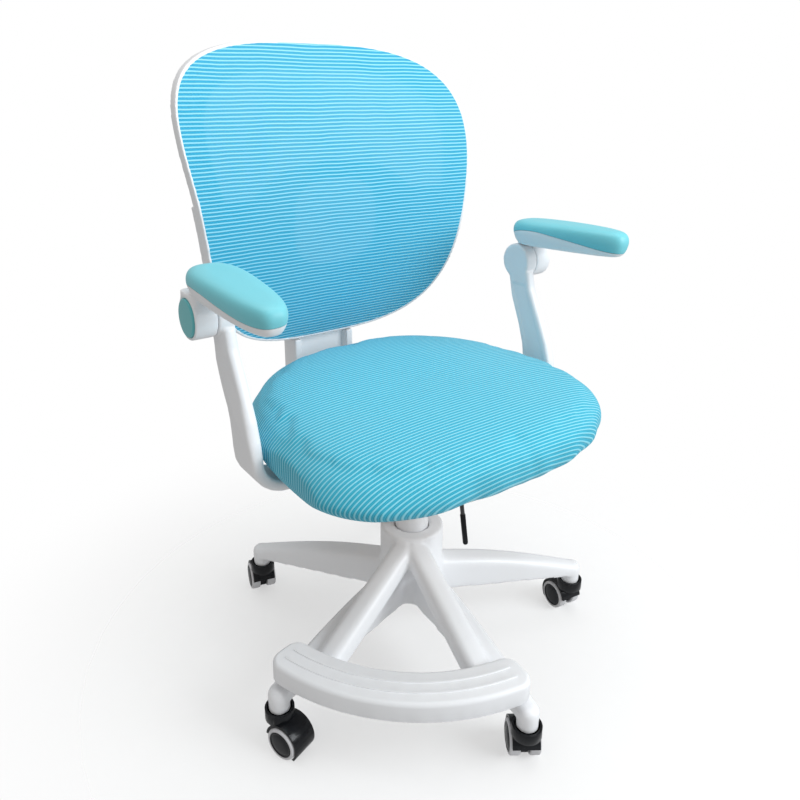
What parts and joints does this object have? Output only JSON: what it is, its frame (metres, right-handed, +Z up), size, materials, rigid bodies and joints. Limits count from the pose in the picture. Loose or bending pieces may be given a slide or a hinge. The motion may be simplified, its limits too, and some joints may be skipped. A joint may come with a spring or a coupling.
{
  "type": "swivel study chair",
  "caption": "Swivel study chair with a round mesh back, padded seat, flip-up armrests, star base with castors and an arched footrest.",
  "frame": {"origin": "on the floor, at the swivel axis", "axes": "+Z up along the gas lift; the seat faces -Y and the back stands towards +Y. Right and left in the names are as seen from the front, so right is +X, which is also the side of the lever"},
  "size_m": [0.6142, 0.5855, 0.8986],
  "materials": {
    "white_plastic": "smooth satin moulding, very slightly cool white",
    "white_metal": "white powder coat, smooth",
    "column_plastic": "smooth white moulding",
    "seat_fabric": "knitted cover with fine raised pale lines from left to right",
    "mesh_fabric": "open mesh with pale raised lines from left to right",
    "pad_turquoise": "soft moulded foam skin, satin",
    "cap_turquoise": "moulded cap, light gloss",
    "black_plastic": "black moulding with a soft gloss",
    "tyre_grey": "plain soft tread, light grey",
    "steel": "bright zinc plate",
    "black_steel": "black coat, satin",
    "plywood": "bare moulded plywood"
  },
  "bodies": {
    "base": {"base_star": "white_plastic", "footrest": "white_plastic", "footrest_screws": "steel", "column_tube": "white_metal", "column_bushing": "column_plastic", "thrust_bearing": "steel", "castor_stems": "steel"},
    "rod": {"piston_rod": "steel"},
    "seat": {"gas_cylinder": "black_steel", "mechanism_plate": "white_plastic", "seat_pan": "plywood", "seat_cushion": "seat_fabric", "underseat_bolts": "steel", "arm_left": "white_plastic", "arm_right": "white_plastic", "back_upright": "white_plastic", "pivot_pins": "steel", "back_frame": "white_plastic", "back_mesh": "mesh_fabric", "back_support": "white_plastic", "back_screws": "steel"},
    "lever": {"lift_lever": "black_steel", "lever_grip": "black_plastic"},
    "valve": {"valve_button": "steel"},
    "armrest_right": {"pad_base_right": "white_plastic", "arm_pad_right": "pad_turquoise", "pivot_cap_right": "cap_turquoise"},
    "armrest_left": {"pad_base_left": "white_plastic", "arm_pad_left": "pad_turquoise", "pivot_cap_left": "cap_turquoise"},
    "castor_front_left": {"castor_hood_front_left": "black_plastic", "castor_axle_front_left": "steel"},
    "wheel_front_left_a": {"wheel_disc_front_left_a": "black_plastic", "tyre_front_left_a": "tyre_grey"},
    "wheel_front_left_b": {"wheel_disc_front_left_b": "black_plastic", "tyre_front_left_b": "tyre_grey"},
    "castor_front_right": {"castor_hood_front_right": "black_plastic", "castor_axle_front_right": "steel"},
    "wheel_front_right_a": {"wheel_disc_front_right_a": "black_plastic", "tyre_front_right_a": "tyre_grey"},
    "wheel_front_right_b": {"wheel_disc_front_right_b": "black_plastic", "tyre_front_right_b": "tyre_grey"},
    "castor_side_right": {"castor_hood_side_right": "black_plastic", "castor_axle_side_right": "steel"},
    "wheel_side_right_a": {"wheel_disc_side_right_a": "black_plastic", "tyre_side_right_a": "tyre_grey"},
    "wheel_side_right_b": {"wheel_disc_side_right_b": "black_plastic", "tyre_side_right_b": "tyre_grey"},
    "castor_rear": {"castor_hood_rear": "black_plastic", "castor_axle_rear": "steel"},
    "wheel_rear_a": {"wheel_disc_rear_a": "black_plastic", "tyre_rear_a": "tyre_grey"},
    "wheel_rear_b": {"wheel_disc_rear_b": "black_plastic", "tyre_rear_b": "tyre_grey"},
    "castor_side_left": {"castor_hood_side_left": "black_plastic", "castor_axle_side_left": "steel"},
    "wheel_side_left_a": {"wheel_disc_side_left_a": "black_plastic", "tyre_side_left_a": "tyre_grey"},
    "wheel_side_left_b": {"wheel_disc_side_left_b": "black_plastic", "tyre_side_left_b": "tyre_grey"}
  },
  "joints": [
    {"name": "seat_swivel", "type": "hinge", "parent": "base", "child": "rod", "pos_m": [0, 0, 0.2], "axis": [0, 0, 1], "continuous": true},
    {"name": "seat_lift", "type": "slide", "parent": "rod", "child": "seat", "axis": [0, 0, 1], "range_m": [0, 0.1]},
    {"name": "lever_pull", "type": "hinge", "parent": "seat", "child": "lever", "pos_m": [0, -0.045, 0.3435], "axis": [-1, 0, 0], "range_deg": [0, 6], "stiffness_Nm_per_rad": 0.5, "springref_deg": -2.86},
    {"name": "valve_press", "type": "slide", "parent": "seat", "child": "valve", "axis": [0, 0, -1], "range_m": [0, 0.0048], "stiffness_N_per_m": 300, "springref_m": -0.001},
    {"name": "armrest_flip_right", "type": "hinge", "parent": "seat", "child": "armrest_right", "pos_m": [0.273, 0.0589, 0.565], "axis": [-1, 0, 0], "range_deg": [0, 90]},
    {"name": "armrest_flip_left", "type": "hinge", "parent": "seat", "child": "armrest_left", "pos_m": [-0.273, 0.0589, 0.565], "axis": [-1, 0, 0], "range_deg": [0, 90]},
    {"name": "castor_swivel_front_left", "type": "hinge", "parent": "base", "child": "castor_front_left", "pos_m": [-0.26401, -0.0646, 0.05], "axis": [0, 0, 1], "continuous": true},
    {"name": "wheel_spin_front_left_a", "type": "hinge", "parent": "castor_front_left", "child": "wheel_front_left_a", "pos_m": [-0.2582, -0.08058, 0.022], "axis": [0.9397, 0.342, 0], "continuous": true},
    {"name": "wheel_spin_front_left_b", "type": "hinge", "parent": "castor_front_left", "child": "wheel_front_left_b", "pos_m": [-0.2582, -0.08058, 0.022], "axis": [0.9397, 0.342, 0], "continuous": true},
    {"name": "castor_swivel_front_right", "type": "hinge", "parent": "base", "child": "castor_front_right", "pos_m": [-0.02014, -0.27105, 0.05], "axis": [0, 0, 1], "continuous": true},
    {"name": "wheel_spin_front_right_a", "type": "hinge", "parent": "castor_front_right", "child": "wheel_front_right_a", "pos_m": [-0.01064, -0.25696, 0.022], "axis": [-0.829, 0.5592, 0], "continuous": true},
    {"name": "wheel_spin_front_right_b", "type": "hinge", "parent": "castor_front_right", "child": "wheel_front_right_b", "pos_m": [-0.01064, -0.25696, 0.022], "axis": [-0.829, 0.5592, 0], "continuous": true},
    {"name": "castor_swivel_side_right", "type": "hinge", "parent": "base", "child": "castor_side_right", "pos_m": [0.25156, -0.10292, 0.05], "axis": [0, 0, 1], "continuous": true},
    {"name": "wheel_spin_side_right_a", "type": "hinge", "parent": "castor_side_right", "child": "wheel_side_right_a", "pos_m": [0.25363, -0.08604, 0.022], "axis": [-0.9925, 0.1219, 0], "continuous": true},
    {"name": "wheel_spin_side_right_b", "type": "hinge", "parent": "castor_side_right", "child": "wheel_side_right_b", "pos_m": [0.25363, -0.08604, 0.022], "axis": [-0.9925, 0.1219, 0], "continuous": true},
    {"name": "castor_swivel_rear", "type": "hinge", "parent": "base", "child": "castor_rear", "pos_m": [0.17562, 0.20745, 0.05], "axis": [0, 0, 1], "continuous": true},
    {"name": "wheel_spin_rear_a", "type": "hinge", "parent": "castor_rear", "child": "wheel_rear_a", "pos_m": [0.1828, 0.22285, 0.022], "axis": [-0.9063, 0.4226, 0], "continuous": true},
    {"name": "wheel_spin_rear_b", "type": "hinge", "parent": "castor_rear", "child": "wheel_rear_b", "pos_m": [0.1828, 0.22285, 0.022], "axis": [-0.9063, 0.4226, 0], "continuous": true},
    {"name": "castor_swivel_side_left", "type": "hinge", "parent": "base", "child": "castor_side_left", "pos_m": [-0.14303, 0.23113, 0.05], "axis": [0, 0, 1], "continuous": true},
    {"name": "wheel_spin_side_left_a", "type": "hinge", "parent": "castor_side_left", "child": "wheel_side_left_a", "pos_m": [-0.13891, 0.24762, 0.022], "axis": [-0.9703, 0.2419, 0], "continuous": true},
    {"name": "wheel_spin_side_left_b", "type": "hinge", "parent": "castor_side_left", "child": "wheel_side_left_b", "pos_m": [-0.13891, 0.24762, 0.022], "axis": [-0.9703, 0.2419, 0], "continuous": true}
  ],
  "couplings": [
    {"joint": "valve_press", "follows": "lever_pull", "m_per_rad": 0.045}
  ]
}
